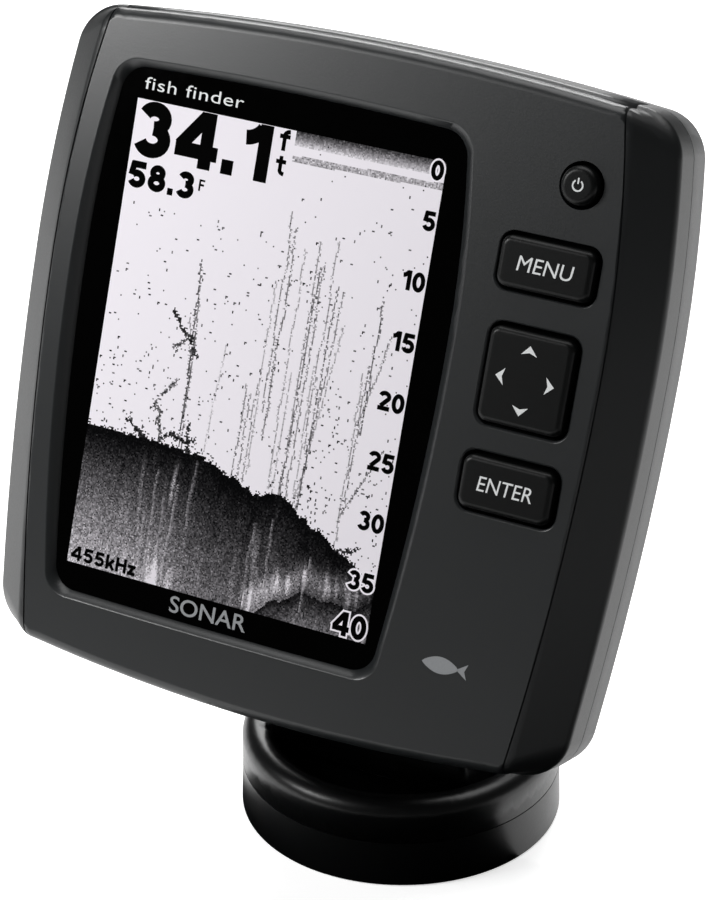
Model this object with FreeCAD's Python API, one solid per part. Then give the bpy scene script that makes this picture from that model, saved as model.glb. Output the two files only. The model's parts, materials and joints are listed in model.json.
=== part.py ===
import FreeCAD, Part
import math
import os

V = FreeCAD.Vector

# Stand, in the object's own frame: origin at the centre of the base's underside, +Z up, face towards -Y
base_radius = 37.7
base_draft = 0.3
base_height = 11.5
base_edge_round = 0.8
base_floor = 4.4
bowl_radius = 33.4
seam_gap = 0.3
turret_radius = 37.4
turret_height = 9.8
rim_round = 3.6
rim_land = 1.6
rim_bevel = 2.0
rim_wall_lean = 1.0
dish_depth = 8.4
dish_floor_radius = 23.0
skirt_clearance = 0.4
turret_web = 2.6
friction_washer_thickness = 0.45
friction_washer_radius = 20.0
screw_circle = 52.0
screw_count = 4
screw_hole_radius = 2.25
screw_head_radius = 4.6
screw_head_depth = 1.6
swivel_bolt_radius = 3.0
swivel_head_radius = 5.2
swivel_head_height = 1.5
swivel_slot_width = 1.2
swivel_slot_depth = 0.8
swivel_washer_radius = 7.2
swivel_washer_thickness = 0.55
swivel_recess_radius = 8.2
swivel_recess_depth = 2.4
swivel_bolt_grip = 9.0
running_gap = 0.05

# Tilt joint: a drum on the cradle turns on a bolt through a tongue that stands up from the turret
axis_height = 26.5
rest_tilt = 20.1
tilt_forward = 20.0
tilt_back = 25.0
tilt_margin = 3.0
drum_radius = 18.5
drum_half_width = 26.0
drum_edge_round = 1.6
drum_clearance = 0.6
tongue_half_width = 6.0
tongue_half_depth = 6.5
washer_thickness = 0.9
washer_radius = 6.0
tilt_bolt_radius = 3.0
tilt_head_radius = 5.5
tilt_head_height = 3.2
tilt_head_chamfer = 0.6
tilt_socket_flats = 5.0
tilt_bolt_spare = 0.4
tilt_recess_radius = 6.5
tilt_recess_depth = 4.2
nut_flats = 9.6
nut_height = 3.4

# Head, in its own upright frame: x across, y back from the display glass, z up from the screen's centre
glass_to_axis = 73.65
centre_to_axis = 81.46
face_forward = 3.7
ridge_back = 3.5
seam_back = 10.5
shell_seam = 0.2
tray_back = 22.0
tray_shoulder = 18.0
face_half = 65.6
ridge_half = 74.5
wide_height = 17.0
face_upper_radius = 254.0
face_lower_radius = 565.0
ridge_upper_radius = 320.0
ridge_lower_radius = 724.0
head_top = 73.0
head_bottom = -74.9
top_radius = 640.0
bottom_radius = 455.0
face_top_inset = 0.4
face_crown_radius = 2600.0
corner_cut = 8.0
ridge_round = 2.2
ridge_steps = 4
face_round = 2.6
mouth_round = 0.7
groove_width = 0.36
rail_thickness = 2.0
shell_wall = 2.5
neck_inset = 4.0
plate_thickness = 3.0
tray_shoulder_inset = 0.4
tray_back_inset = 5.2

# Window, lens and display
screen_centre = -14.2
screen_half_width = 37.25
screen_half_height = 51.4
lens_half = 44.1
lens_top = 58.8
lens_bottom = -57.7
lens_top_radius = 882.0
lens_bottom_radius = 2400.0
lens_corner = 4.6
lens_front = -1.6
lens_thickness = 1.0
lens_gap = 0.12
lens_gasket_margin = 0.4
lens_gasket_corner = 0.5
window_bevel = 2.4
ledge_half_width = 39.6
ledge_half_height = 55.2
ledge_corner = 3.0
ledge_thickness = 1.5
display_clearance = 0.3
glass_thickness = 1.8
backlight_thickness = 3.0
display_frame_wall = 1.4
display_frame_floor = 1.0
display_frame_clearance = 0.3

# Keys
key_gap = 0.9
key_proud = 1.6
key_flange = 1.5
key_flange_thickness = 1.0
key_rest_gap = 0.1
rocker_rest_gap = 0.8
key_travel = 0.8
key_bay_gap = 0.3
key_corner = 2.2
key_pillow = 1.3
key_bevel_width = 0.5
key_bevel_depth = 0.5
stem_radius = 1.6
stem_reach = 1.25
power_key_radius = 4.05
power_key_place = (54.0, 52.6)
menu_key_size = (21.0, 10.6)
menu_key_place = (50.0, 34.8)
rocker_size = (19.1, 20.0)
rocker_place = (50.0, 11.5)
rocker_stem_offset = 6.0
actuator_size = 4.4
actuator_thickness = 1.4
actuator_gap = 0.35
enter_key_size = (20.8, 11.2)
enter_key_place = (49.8, -11.3)
dome_radius = 2.3
dome_height = 0.3
dome_gap = 0.1
key_board_thickness = 1.2
key_board_half_width = 11.0
key_board_low = -21.0
key_board_high = 60.0

# Boards and what they carry
board_back = 9.0
board_thickness = 1.6
board_half_width = 60.0
board_half_height = 59.0
board_corner = 6.0
board_post_radius = 3.0
board_post_places = ((-58.8, 45.0), (-58.8, -45.0), (31.6, 61.0), (31.6, -61.0))
board_ear = 5.0
small_screw_radius = 1.1
small_screw_grip = 5.0
small_head_radius = 2.2
small_head_height = 1.4
chip_size = 14.0
chip_height = 1.4
chip_chamfer = 0.2
chip_place = (8.0, 6.0)
memory_size = (10.0, 12.0)
memory_height = 1.2
memory_place = (28.0, 6.0)
transformer_size = (20.0, 18.0)
transformer_height = 14.0
winding_share = 0.62
winding_proud = 1.5
transformer_place = (-24.0, -30.0)
capacitor_radius = 5.0
capacitor_height = 15.0
capacitor_places = ((4.0, -34.0), (16.0, -34.0))
beeper_radius = 7.0
beeper_height = 5.5
beeper_place = (32.0, -36.0)
ribbon_width = 40.0
ribbon_thickness = 0.4

# Rear housing and the channel that the cradle's plate slides in
hump_half_width = 50.0
hump_back_half_width = 44.0
hump_top = 50.0
hump_back_top = 40.0
hump_bottom = -65.0
hump_back_bottom = -61.0
hump_back = 47.0
hump_corner = 9.0
hump_round = 3.0
plate_half_width = 18.0
neck_half_width = 12.0
plate_thick = 3.6
slide_gap = 0.4
lip_thick = 3.0
lip_post = 5.0
arm_gap = 1.0
plate_top = -9.0
plate_bottom = -58.0
stop_height = 4.0
arm_top_half_width = 16.0
arm_low_half_width = 23.0
arm_top_depth = 8.0
arm_low_depth = 20.0
arm_low = -76.0
arm_edge_round = 2.4
plate_corner = 3.0
case_screw_places = ((64.6, 28.0), (-64.6, 28.0), (64.0, -26.0), (-64.0, -26.0), (0.0, 64.6), (0.0, -65.4))
case_screw_radius = 1.5
case_head_radius = 2.8
case_head_height = 2.0
case_head_recess = 2.4
case_post_radius = 3.2
case_post_gap = 0.2
case_screw_reach = 13.0
gasket_inset = 2.7
gasket_width = 1.2
gasket_height = 1.5

# Release latch
latch_half_width = 5.4
latch_slot_half_width = 6.0
latch_slot_low = -46.0
latch_slot_high = -15.0
latch_pivot_back = 59.5
latch_pivot_height = -30.0
latch_pin_radius = 1.5
latch_pin_half = 10.0
latch_nose_reach = 0.8
latch_groove_depth = 1.3
latch_groove_half = 6.2
latch_groove_top = -17.0
latch_spring_radius = 2.6
latch_spring_length = 3.4
latch_spring_gap = 0.1
latch_coil_gap = 0.2
# the latch's outline as (back, up) steps: from its nose's tip, then from its pivot
latch_nose_points = ((0.0, 11.6), (0.0, 9.2), (2.6, 6.8))
latch_pull_points = ((-3.2, 5.2), (-3.2, -12.6), (-0.8, -14.8), (14.0, -14.8), (15.0, -12.4),
                     (4.6, -7.6), (3.2, 3.0), (1.2, 12.2))
latch_tip_point = (3.0, 13.2)

# Sonar and power socket on the back of the hump
socket_height = 22.0
socket_radius = 9.0
socket_bore = 7.2
socket_floor_back = 42.0
socket_mouth_back = 54.0
socket_flange_radius = 11.5
socket_flange_thickness = 2.0
socket_nut_radius = 11.5
socket_nut_thickness = 3.0
socket_floor_thickness = 4.0
pin_count = 5
pin_circle = 7.6
pin_radius = 0.7
pin_length = 4.2

# Sizes that follow from the ones above
face_back = -face_forward
turret_low = base_floor + friction_washer_thickness + running_gap
turret_seam = base_height + seam_gap
turret_top = turret_seam + turret_height
plate_back = face_back + plate_thickness
lens_back = lens_front + lens_thickness
key_flange_front = plate_back + key_rest_gap
key_flange_back = key_flange_front + key_flange_thickness
rocker_back = plate_back + rocker_rest_gap + key_flange_thickness
stem_back = key_flange_back + stem_reach
dome_back = stem_back + key_travel + dome_gap + dome_height
display_back = glass_thickness + backlight_thickness
lip_front = hump_back + slide_gap + plate_thick + slide_gap
lip_back = lip_front + lip_thick
arm_front = lip_back + arm_gap
plate_front = hump_back + slide_gap
inner_inset = rail_thickness + shell_wall
board_face = board_back + board_thickness


def box(x0, x1, y0, y1, z0, z1):
    return Part.makeBox(x1 - x0, y1 - y0, z1 - z0, V(x0, y0, z0))


def rod_y(radius, y0, y1, x, z):
    return Part.makeCylinder(radius, y1 - y0, V(x, y0, z), V(0, 1, 0))


def rod_x(radius, x0, x1, y, z):
    return Part.makeCylinder(radius, x1 - x0, V(x0, y, z), V(1, 0, 0))


def arc(a, b, c):
    return Part.Arc(a, b, c).toShape()


def bow(radius, reach):
    return radius - math.sqrt(radius * radius - reach * reach)


def side_point(half, upper, lower, z):
    radius = upper if z > wide_height else lower
    return half - bow(radius, z - wide_height)


def outline(y, half, upper, lower, top, bottom, arc_top, arc_bottom, corner, centre=0.0):
    """Closed bowed outline at depth y: two arcs a side, bowed ends and rounded corners."""
    z_top = top
    z_low = bottom
    for _ in range(4):
        x_top = side_point(half, upper, lower, z_top)
        x_low = side_point(half, upper, lower, z_low)
        z_top = top - bow(arc_top, x_top)
        z_low = bottom + bow(arc_bottom, x_low)

    def at(x, z):
        return V(centre + x, y, z)

    def side(z, hand):
        return at(hand * side_point(half, upper, lower, z), z)

    def end_top(x):
        return at(x, top - bow(arc_top, x))

    def end_low(x):
        return at(x, bottom + bow(arc_bottom, x))

    def corner_arc(a, b, tip):
        blend = 1 - math.sqrt(0.5)
        middle = tip + (a - tip) * blend + (b - tip) * blend
        return arc(a, middle, b)

    high = z_top - corner
    low = z_low + corner
    edges = []
    for hand in (1, -1):
        upper_arc = (side(high, hand), side((high + wide_height) / 2, hand), side(wide_height, hand))
        lower_arc = (side(wide_height, hand), side((low + wide_height) / 2, hand), side(low, hand))
        edges.append(arc(*upper_arc))
        edges.append(arc(*lower_arc))
        edges.append(corner_arc(lower_arc[2], end_low(hand * (x_low - corner)), at(hand * x_low, z_low)))
        edges.append(corner_arc(end_top(hand * (x_top - corner)), upper_arc[0], at(hand * x_top, z_top)))
    edges.append(arc(end_top(-x_top + corner), end_top(0), end_top(x_top - corner)))
    edges.append(arc(end_low(-x_low + corner), end_low(0), end_low(x_low - corner)))
    return Part.Wire(Part.__sortEdges__(edges))


def face_outline(y, inset):
    top = head_top - face_top_inset - inset
    bottom = head_bottom + face_top_inset + inset
    return outline(y, face_half - inset, face_upper_radius, face_lower_radius, top, bottom,
                   top_radius, bottom_radius, corner_cut / 2)


def ridge_outline(y, inset):
    corner = max(corner_cut - inset / 2, 2.0)
    return outline(y, ridge_half - inset, ridge_upper_radius, ridge_lower_radius, head_top - inset,
                   head_bottom + inset, top_radius, bottom_radius, corner)


def lens_outline(y, grow):
    return outline(y, lens_half + grow, face_upper_radius, face_lower_radius, lens_top + grow,
                   lens_bottom - grow, lens_top_radius, lens_bottom_radius, lens_corner, screen_centre)


def prism(wire, depth):
    return Part.Face(wire).extrude(V(0, depth, 0))


def loft(wires):
    return Part.makeLoft(wires, True, True)


def round_edges(shape, radius, picks):
    chosen = [edge for edge in shape.Edges if picks(edge)]
    return shape.makeFillet(radius, chosen)


def rounded_plate(half_width, half_height, corner, y0, y1, x=0.0, z=0.0):
    slab = box(x - half_width, x + half_width, y0, y1, z - half_height, z + half_height)
    return round_edges(slab, corner, lambda edge: edge.BoundBox.YLength > y1 - y0 - 0.01)


def rounded_wire(half_width, half_height, corner, y, z, x=0.0):
    slab = rounded_plate(half_width, half_height, corner, y, y + 1, x, z)
    return [face for face in slab.Faces if face.BoundBox.YMax < y + 0.01][0].OuterWire


def place_head(shape):
    """Tip a shape of the head's own frame back to the resting tilt, about the tilt axis."""
    moved = shape.copy()
    moved.translate(V(0, -glass_to_axis, centre_to_axis))
    moved.rotate(V(0, 0, 0), V(1, 0, 0), -rest_tilt)
    moved.translate(V(0, 0, axis_height))
    return moved


def base_plate():
    body = Part.makeCone(base_radius, base_radius - base_draft, base_height)
    body = round_edges(body, base_edge_round,
                       lambda edge: edge.BoundBox.ZMax < 0.01 and len(edge.Vertexes) == 1)
    body = body.cut(Part.makeCylinder(bowl_radius, base_height, V(0, 0, base_floor)))
    body = body.cut(Part.makeCylinder(swivel_recess_radius, swivel_recess_depth))
    body = body.cut(Part.makeCylinder(swivel_bolt_radius + running_gap, base_height))
    for k in range(screw_count):
        angle = math.radians(45 + 360 * k / screw_count)
        spot = V(screw_circle / 2 * math.cos(angle), screw_circle / 2 * math.sin(angle), 0)
        body = body.cut(Part.makeCylinder(screw_hole_radius, base_floor, spot))
        seat = spot + V(0, 0, base_floor - screw_head_depth)
        body = body.cut(Part.makeCylinder(screw_head_radius, screw_head_depth, seat))
    return body


def friction_washer():
    ring = Part.makeCylinder(friction_washer_radius, friction_washer_thickness, V(0, 0, base_floor))
    hole = Part.makeCylinder(swivel_recess_radius, friction_washer_thickness, V(0, 0, base_floor))
    return ring.cut(hole)


def turret():
    skirt = bowl_radius - skirt_clearance
    lip = turret_radius - rim_round
    inner = lip - rim_land
    side_top = turret_top - rim_round
    diagonal = rim_round * math.sqrt(0.5)
    dish = turret_top - dish_depth
    bevel_in = inner - rim_bevel
    bevel_foot = turret_top - rim_bevel
    wall_in = bevel_in - rim_wall_lean
    wall_foot = turret_top - 2 * rim_bevel
    edges = [
        Part.makeLine(V(0, 0, turret_low), V(skirt, 0, turret_low)),
        Part.makeLine(V(skirt, 0, turret_low), V(skirt, 0, turret_seam)),
        Part.makeLine(V(skirt, 0, turret_seam), V(turret_radius, 0, turret_seam)),
        Part.makeLine(V(turret_radius, 0, turret_seam), V(turret_radius, 0, side_top)),
        arc(V(turret_radius, 0, side_top), V(lip + diagonal, 0, side_top + diagonal), V(lip, 0, turret_top)),
        Part.makeLine(V(lip, 0, turret_top), V(inner, 0, turret_top)),
        Part.makeLine(V(inner, 0, turret_top), V(bevel_in, 0, bevel_foot)),
        Part.makeLine(V(bevel_in, 0, bevel_foot), V(wall_in, 0, wall_foot)),
        Part.makeLine(V(wall_in, 0, wall_foot), V(dish_floor_radius, 0, dish)),
        Part.makeLine(V(dish_floor_radius, 0, dish), V(0, 0, dish)),
        Part.makeLine(V(0, 0, dish), V(0, 0, turret_low)),
    ]
    body = Part.Face(Part.Wire(edges)).revolve(V(0, 0, 0), V(0, 0, 1), 360)
    trough = drum_half_width + drum_clearance
    body = body.cut(rod_x(drum_radius + drum_clearance, -trough, trough, 0, axis_height))
    foot = axis_height - drum_radius - drum_clearance - turret_web / 2
    tongue = box(-tongue_half_width, tongue_half_width, -tongue_half_depth, tongue_half_depth,
                 foot, axis_height)
    tongue = tongue.fuse(rod_x(tongue_half_depth, -tongue_half_width, tongue_half_width, 0, axis_height))
    body = body.fuse(tongue).removeSplitter()
    bore = tilt_bolt_radius + running_gap
    body = body.cut(rod_x(bore, -tongue_half_width, tongue_half_width, 0, axis_height))
    return body.cut(Part.makeCylinder(swivel_bolt_radius, swivel_bolt_grip, V(0, 0, turret_low)))


def swivel_bolt():
    under = swivel_recess_depth - running_gap - swivel_washer_thickness
    head = Part.makeCylinder(swivel_head_radius, swivel_head_height, V(0, 0, under - swivel_head_height))
    slot_half = swivel_slot_width / 2
    head = head.cut(box(-swivel_head_radius, swivel_head_radius, -slot_half, slot_half,
                        under - swivel_head_height, under - swivel_head_height + swivel_slot_depth))
    shank = Part.makeCylinder(swivel_bolt_radius, turret_low + swivel_bolt_grip - under, V(0, 0, under))
    return head.fuse(shank).removeSplitter()


def swivel_washer():
    low = swivel_recess_depth - running_gap - swivel_washer_thickness
    ring = Part.makeCylinder(swivel_washer_radius, swivel_washer_thickness, V(0, 0, low))
    return ring.cut(Part.makeCylinder(swivel_bolt_radius, swivel_washer_thickness, V(0, 0, low)))


def tongue_slot():
    """Room for the tongue inside the drum over the whole tilt range, at rest, tongue straight down."""
    reach = tongue_half_width + washer_thickness
    half = tongue_half_depth + drum_clearance
    far = 3 * drum_radius
    corners = []
    for hand, swing in ((1, tilt_back + tilt_margin), (-1, tilt_forward + tilt_margin)):
        turn = math.radians(swing) * hand
        down = V(0, math.sin(turn), -math.cos(turn))
        out = V(0, math.cos(turn), math.sin(turn)) * (half * hand)
        pair = [out, out + down * far]
        corners += pair if hand > 0 else pair[::-1]
    points = [V(-reach, 0, axis_height) + corner for corner in corners]
    wedge = Part.Face(Part.makePolygon(points + points[:1])).extrude(V(2 * reach, 0, 0))
    return wedge.fuse(rod_x(half, -reach, reach, 0, axis_height))


def cradle():
    axis_y = glass_to_axis
    axis_z = -centre_to_axis
    drum = rod_x(drum_radius, -drum_half_width, drum_half_width, axis_y, axis_z)
    drum = round_edges(drum, drum_edge_round, lambda edge: edge.Curve.TypeId == "Part::GeomCircle")
    low = [V(-arm_low_half_width, arm_front, arm_low), V(arm_low_half_width, arm_front, arm_low),
           V(arm_low_half_width, arm_front + arm_low_depth, arm_low),
           V(-arm_low_half_width, arm_front + arm_low_depth, arm_low)]
    high = [V(-arm_top_half_width, arm_front, plate_top), V(arm_top_half_width, arm_front, plate_top),
            V(arm_top_half_width, arm_front + arm_top_depth, plate_top),
            V(-arm_top_half_width, arm_front + arm_top_depth, plate_top)]
    arm = loft([Part.makePolygon(low + low[:1]), Part.makePolygon(high + high[:1])])
    arm = round_edges(arm, arm_edge_round,
                      lambda edge: edge.BoundBox.ZLength > 20 and edge.BoundBox.YMax > arm_front + 2)
    neck = box(-neck_half_width, neck_half_width, plate_front + plate_thick / 2, arm_front + 1,
               plate_bottom, plate_top)
    head = box(-plate_half_width, plate_half_width, plate_front, plate_front + plate_thick,
               plate_bottom, plate_top)
    head = round_edges(head, plate_corner, lambda edge: edge.BoundBox.YLength > plate_thick - 0.01)
    body = drum.fuse([arm, neck, head]).removeSplitter()
    slot = box(-latch_slot_half_width, latch_slot_half_width, hump_back, axis_y + drum_radius,
               latch_slot_low, latch_slot_high)
    body = body.cut(slot)
    body = body.cut(latch_pin())
    body = place_head(body).cut(tongue_slot())
    body = body.cut(rod_x(tilt_bolt_radius, -drum_half_width, drum_half_width, 0, axis_height))
    for start in (-drum_half_width, drum_half_width - tilt_recess_depth):
        body = body.cut(rod_x(tilt_recess_radius, start, start + tilt_recess_depth, 0, axis_height))
    return body


def tilt_bolt():
    seat = -drum_half_width + tilt_recess_depth
    head = rod_x(tilt_head_radius, seat - tilt_head_height, seat, 0, axis_height)
    rim = [edge for edge in head.Edges if edge.BoundBox.XMax < seat - 1]
    head = head.makeChamfer(tilt_head_chamfer, rim)
    socket = hexagon(tilt_socket_flats, seat - tilt_head_height, seat - tilt_head_height / 2)
    shank_end = drum_half_width - tilt_recess_depth + nut_height + tilt_bolt_spare
    shank = rod_x(tilt_bolt_radius, seat, shank_end, 0, axis_height)
    return head.cut(socket).fuse(shank).removeSplitter()


def hexagon(flats, x0, x1):
    radius = flats / math.sqrt(3)
    points = []
    for k in range(6):
        angle = math.radians(60 * k)
        points.append(V(x0, radius * math.cos(angle), axis_height + radius * math.sin(angle)))
    return Part.Face(Part.makePolygon(points + points[:1])).extrude(V(x1 - x0, 0, 0))


def tilt_nut():
    seat = drum_half_width - tilt_recess_depth
    nut = hexagon(nut_flats, seat, seat + nut_height)
    return nut.cut(rod_x(tilt_bolt_radius, seat, seat + nut_height, 0, axis_height))


def tilt_washers():
    rings = []
    thickness = washer_thickness - running_gap
    for start in (-tongue_half_width - washer_thickness, tongue_half_width + running_gap):
        ring = rod_x(washer_radius, start, start + thickness, 0, axis_height)
        rings.append(ring.cut(rod_x(tilt_bolt_radius, start, start + thickness, 0, axis_height)))
    return Part.makeCompound(rings)


def latch():
    back = latch_pivot_back
    mid = latch_pivot_height
    nose = hump_back - latch_nose_reach
    nose_side = [(nose + y, mid + z) for y, z in latch_nose_points]
    pull_side = [(back + y, mid + z) for y, z in latch_pull_points]
    tip = (nose + latch_tip_point[0], mid + latch_tip_point[1])
    corners = [V(-latch_half_width, y, z) for y, z in nose_side + pull_side + [tip]]
    body = Part.Face(Part.makePolygon(corners + corners[:1])).extrude(V(2 * latch_half_width, 0, 0))
    body = body.cut(rod_x(latch_pin_radius + running_gap, -latch_half_width, latch_half_width, back, mid))
    room = latch_spring_length / 2
    return body.cut(rod_x(latch_spring_radius + latch_spring_gap, -room, room, back, mid))


def latch_pin():
    return rod_x(latch_pin_radius, -latch_pin_half, latch_pin_half, latch_pivot_back, latch_pivot_height)


def latch_spring():
    room = latch_spring_length / 2 - latch_spring_gap
    coil = rod_x(latch_spring_radius, -room, room, latch_pivot_back, latch_pivot_height)
    bore = latch_pin_radius + latch_coil_gap
    return coil.cut(rod_x(bore, -room, room, latch_pivot_back, latch_pivot_height))


def front_block(front, face_inset, inset):
    """Outer shape of the front moulding, of the shoulder under the rails, or of the hollow inside."""
    slant = math.atan2(ridge_half - inset - face_half + face_inset, ridge_back - front)
    rise = ridge_round * math.tan(slant / 2)
    wires = [face_outline(front, face_inset)]
    for k in range(ridge_steps, -1, -1):
        angle = slant * k / ridge_steps
        wires.append(ridge_outline(ridge_back + rise - ridge_round * math.sin(angle),
                                   inset + ridge_round * (1 - math.cos(angle))))
    wires.append(ridge_outline(seam_back, inset))
    block = loft(wires)
    crown = rod_x(face_crown_radius, -2 * ridge_half, 2 * ridge_half, front + face_crown_radius, 0)
    crown.rotate(V(0, front + face_crown_radius, 0), V(1, 0, 0), 180)
    return block.common(crown)


def outer_block():
    block = front_block(face_back, 0, 0)
    rim = face_back + bow(face_crown_radius, head_top) + 0.1
    return round_edges(block, face_round,
                       lambda edge: edge.BoundBox.YMax < rim and edge.BoundBox.ZLength > 0.5)


def shoulder_block():
    return front_block(face_back + rail_thickness, rail_thickness, rail_thickness)


def between_grooves(grow):
    """Slab that reaches from one groove to the other, over the whole height and depth."""
    high = head_top + 20
    low = head_bottom - 20

    def groove(z, hand):
        reach = side_point(face_half, face_upper_radius, face_lower_radius, z) + grow
        return V(hand * reach, face_back - 5, z)

    edges = []
    for hand in (1, -1):
        for end in (high, low):
            halfway = (end + wide_height) / 2
            edges.append(arc(groove(end, hand), groove(halfway, hand), groove(wide_height, hand)))
    edges.append(Part.makeLine(groove(high, -1), groove(high, 1)))
    edges.append(Part.makeLine(groove(low, -1), groove(low, 1)))
    return prism(Part.Wire(Part.__sortEdges__(edges)), seam_back - face_back + 10)


def side_rail(hand):
    rails = outer_block().cut(between_grooves(groove_width / 2)).cut(shoulder_block())
    return [solid for solid in rails.Solids if solid.CenterOfMass.x * hand > 0][0]


def key_cutters(size, place):
    """The hole for a key, and the bevelled recess round it."""
    x, z = place
    half = (size[0] / 2, size[1] / 2)
    hole = rounded_plate(half[0] + key_gap, half[1] + key_gap, key_corner + key_gap, face_back - 2,
                         plate_back + 1, x, z)
    mouth = key_gap + key_bevel_width * (1 + 1 / key_bevel_depth)
    wires = []
    for y, grow in ((face_back - 1, mouth), (face_back + key_bevel_depth, key_gap)):
        wires.append(rounded_wire(half[0] + grow, half[1] + grow, key_corner + grow, y, z, x))
    return [hole, loft(wires)]


def power_cutters():
    x, z = power_key_place
    low = power_key_radius + key_gap
    mouth = low + key_bevel_width * (1 + 1 / key_bevel_depth)
    hole = rod_y(low, face_back - 2, plate_back + 1, x, z)
    bevel = Part.makeCone(mouth, low, key_bevel_depth + 1, V(x, face_back - 1, z), V(0, 1, 0))
    return [hole, bevel]


def key_bay():
    """Room behind the face plate for the keys' flanges and their board."""
    wide = menu_key_size[0] / 2 + key_flange + key_bay_gap
    low = key_board_low - key_bay_gap
    high = key_board_high + key_bay_gap
    x = menu_key_place[0]
    return box(x - wide, x + wide, plate_back, dome_back + key_board_thickness + 1, low, high)


def front_panel():
    skin = outer_block().common(between_grooves(-groove_width / 2))
    shoulder = shoulder_block()
    body = skin.fuse(shoulder)
    body = body.cut(front_block(plate_back, inner_inset + neck_inset, inner_inset))
    seat = rounded_plate(ledge_half_width + 6, ledge_half_height + 5, 6.0, plate_back - 1,
                         lens_back + ledge_thickness, screen_centre)
    body = body.fuse(seat)
    for x, z in board_post_places:
        body = body.fuse(rod_y(board_post_radius, plate_back - 1, board_back, x, z))
    for x, z in case_screw_places:
        post = rod_y(case_post_radius, plate_back - 1, seam_back, x, z)
        body = body.fuse(post.common(shoulder))
    body = body.removeSplitter()
    window = rounded_plate(ledge_half_width, ledge_half_height, ledge_corner, face_back - 3,
                           board_back, screen_centre)
    body = body.cut(window)
    body = body.cut(prism(lens_outline(lens_back, lens_gap), -6))
    reach = window_bevel * (1 + 1 / (lens_front - face_back))
    body = body.cut(loft([lens_outline(lens_front, lens_gap),
                          lens_outline(face_back - 1, lens_gap + reach)]))
    for x, z in board_post_places:
        body = body.cut(rod_y(small_screw_radius, board_back - small_screw_grip, board_back, x, z))
    for x, z in case_screw_places:
        body = body.cut(rod_y(case_screw_radius, seam_back - case_screw_reach + 6, seam_back, x, z))
    body = body.cut(gasket_ring(case_post_gap / 4))
    cutters = [key_bay()] + power_cutters()
    for size, place in ((menu_key_size, menu_key_place), (rocker_size, rocker_place),
                        (enter_key_size, enter_key_place)):
        cutters += key_cutters(size, place)
    for cutter in cutters:
        body = body.cut(cutter)
    return round_edges(body, mouth_round, on_window_mouth)


def on_face(edge):
    """True for an edge that lies in the crowned front face."""
    ends = [edge.valueAt(edge.FirstParameter), edge.valueAt(edge.LastParameter)]
    crown = [face_back + bow(face_crown_radius, end.z) for end in ends]
    return all(abs(end.y - depth) < 0.03 for end, depth in zip(ends, crown))


def on_window_mouth(edge):
    reach = window_bevel + 2 * mouth_round
    box_of = edge.BoundBox
    right = screen_centre + lens_half + reach
    return on_face(edge) and box_of.XMax < right and box_of.XMin > screen_centre - lens_half - reach \
        and box_of.ZMax < lens_top + reach and box_of.ZMin > lens_bottom - reach


def gasket_ring(grow):
    middle = seam_back + shell_seam / 2
    low = middle - gasket_height / 2 - grow
    ring = prism(ridge_outline(low, gasket_inset - grow), gasket_height + 2 * grow)
    return ring.cut(prism(ridge_outline(low, gasket_inset + gasket_width + grow), gasket_height + 2 * grow))


def case_gasket():
    return gasket_ring(0)


def hump_wire(y, half, top, bottom, corner):
    return rounded_wire(half, (top - bottom) / 2, corner, y, (top + bottom) / 2)


def hump(inset):
    low = hump_wire(tray_shoulder, hump_half_width - inset, hump_top - inset, hump_bottom + inset,
                    hump_corner - inset / 2)
    high = hump_wire(hump_back - inset, hump_back_half_width - inset, hump_back_top - inset,
                     hump_back_bottom + inset, hump_corner - inset / 2)
    return loft([low, high])


def tray(inset):
    start = seam_back + shell_seam
    body = loft([ridge_outline(start, inset), ridge_outline(tray_shoulder, tray_shoulder_inset + inset)])
    back = tray_back - (inset if inset else 0)
    rim = loft([ridge_outline(tray_shoulder, tray_shoulder_inset + inset),
                ridge_outline(back, tray_back_inset + inset)])
    return body.fuse(rim).removeSplitter()


def rear_housing():
    shell = tray(0)
    bulge = hump(0)
    bulge = round_edges(bulge, hump_round, lambda edge: edge.BoundBox.YMin > hump_back - 0.01)
    shell = shell.fuse(bulge)
    shell = shell.cut(tray(shell_wall)).cut(hump(shell_wall))
    flange = prism(ridge_outline(seam_back + shell_seam, shell_wall - 0.2), shell_wall)
    flange = flange.cut(prism(ridge_outline(seam_back + shell_seam, inner_inset), shell_wall))
    shell = shell.fuse(flange)
    for x, z in case_screw_places:
        post = rod_y(case_post_radius, seam_back + shell_seam, tray_back - 1, x, z)
        shell = shell.fuse(post.common(prism(ridge_outline(seam_back + shell_seam, 1.0), tray_back)))
    for hand in (-1, 1):
        inner = plate_half_width + slide_gap
        outer = inner + lip_post
        sides = sorted((hand * inner, hand * outer))
        lips = sorted((hand * (neck_half_width + slide_gap), hand * outer))
        channel_top = plate_top + slide_gap
        shell = shell.fuse(box(sides[0], sides[1], hump_back - 1, lip_back, plate_bottom, channel_top))
        shell = shell.fuse(box(lips[0], lips[1], lip_front, lip_back, plate_bottom, channel_top))
    wide = plate_half_width + slide_gap + lip_post
    shell = shell.fuse(box(-wide, wide, hump_back - 1, lip_back, plate_top + slide_gap,
                           plate_top + slide_gap + stop_height))
    shell = shell.removeSplitter()
    shell = shell.cut(box(-latch_groove_half, latch_groove_half, hump_back - latch_groove_depth, hump_back,
                          hump_bottom - 5, latch_groove_top))
    shell = shell.cut(rod_y(socket_radius, hump_back - 10, hump_back + 1, 0, socket_height))
    for x, z in case_screw_places:
        shell = shell.cut(rod_y(case_screw_radius + case_post_gap, seam_back, tray_back + 1, x, z))
        seat = tray_back - case_head_recess
        shell = shell.cut(rod_y(case_head_radius + case_post_gap, seat, tray_back + 1, x, z))
    return shell.cut(gasket_ring(case_post_gap / 4))


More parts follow.
